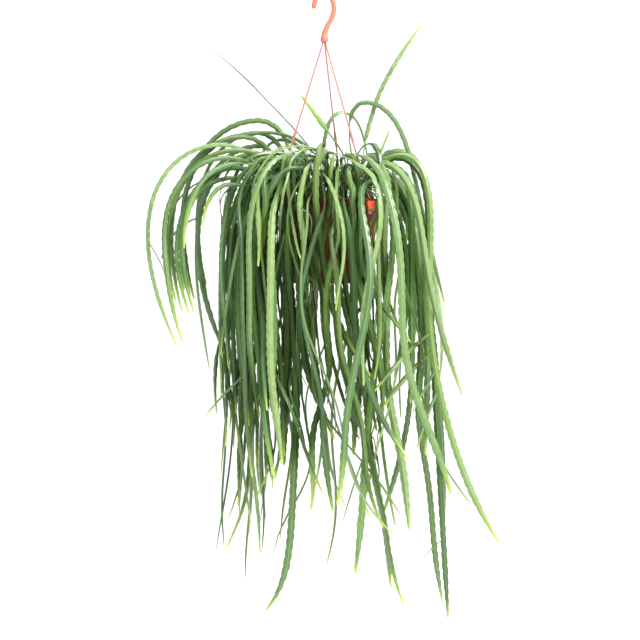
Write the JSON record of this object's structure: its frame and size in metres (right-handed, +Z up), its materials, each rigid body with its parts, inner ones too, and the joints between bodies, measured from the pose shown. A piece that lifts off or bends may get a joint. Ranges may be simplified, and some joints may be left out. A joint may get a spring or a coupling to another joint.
{
  "type": "potted hanging cactus",
  "caption": "Hanging pot of Lepismium bolivianum: long flat notched stems arch over the rim and hang down all round, from a hooked plastic hanger.",
  "frame": {"origin": "underside of the hook's crown, where the hook rests on its rail", "axes": "+Z up, +X to the viewer's right, -Y towards the viewer of the picture"},
  "size_m": [0.4492, 0.3428, 0.8125],
  "materials": {
    "hanger": "pale coral moulded plastic, slightly translucent, satin",
    "hanger_leg": "coral moulded plastic strand with an orange-red stop block",
    "pot": "terracotta-red moulded plastic, satin, darker in the shade of the stems",
    "soil": "dark crumbly potting soil",
    "stem_mid": "waxy green stem skin with a yellow-green young tip",
    "stem_deep": "waxy green stem skin with a yellow-green young tip",
    "stem_pale": "waxy green stem skin with a yellow-green young tip",
    "stem_dark": "waxy green stem skin with a yellow-green young tip",
    "stem_light": "waxy green stem skin with a yellow-green young tip"
  },
  "bodies": {
    "root": {"hook": "hanger", "hanger_leg_1": "hanger_leg", "hanger_leg_2": "hanger_leg", "hanger_leg_3": "hanger_leg", "pot": "pot", "soil": "soil", "stem_clump_01": "stem_mid", "stem_clump_02": "stem_deep", "stem_clump_03": "stem_pale", "stem_clump_04": "stem_dark", "stem_clump_05": "stem_light", "stem_clump_06": "stem_mid", "stem_clump_07": "stem_deep", "stem_clump_08": "stem_pale", "stem_clump_09": "stem_dark", "stem_clump_10": "stem_light", "stem_clump_11": "stem_mid", "stem_clump_12": "stem_deep", "stem_clump_13": "stem_pale", "stem_clump_14": "stem_dark", "stem_clump_15": "stem_light", "stem_clump_16": "stem_mid", "stem_clump_17": "stem_deep", "stem_clump_18": "stem_pale", "stem_clump_19": "stem_dark", "stem_clump_20": "stem_light", "stem_clump_21": "stem_mid", "stem_clump_22": "stem_deep", "stem_clump_23": "stem_pale", "stem_clump_24": "stem_dark", "stem_clump_25": "stem_light", "stem_clump_26": "stem_mid", "stem_clump_27": "stem_deep", "stem_clump_28": "stem_pale", "stem_clump_29": "stem_dark", "stem_clump_30": "stem_light", "stem_clump_31": "stem_mid", "stem_clump_32": "stem_deep", "stem_clump_33": "stem_pale", "stem_clump_34": "stem_dark", "stem_clump_35": "stem_light", "stem_clump_36": "stem_mid", "stem_clump_37": "stem_deep", "stem_clump_38": "stem_pale", "stem_clump_39": "stem_dark", "stem_clump_40": "stem_light", "stem_clump_41": "stem_mid", "stem_clump_42": "stem_deep", "stem_clump_43": "stem_pale", "stem_clump_44": "stem_dark", "stem_clump_45": "stem_light", "stem_clump_46": "stem_mid", "stem_clump_47": "stem_deep", "stem_clump_48": "stem_pale"}
  },
  "joints": []
}
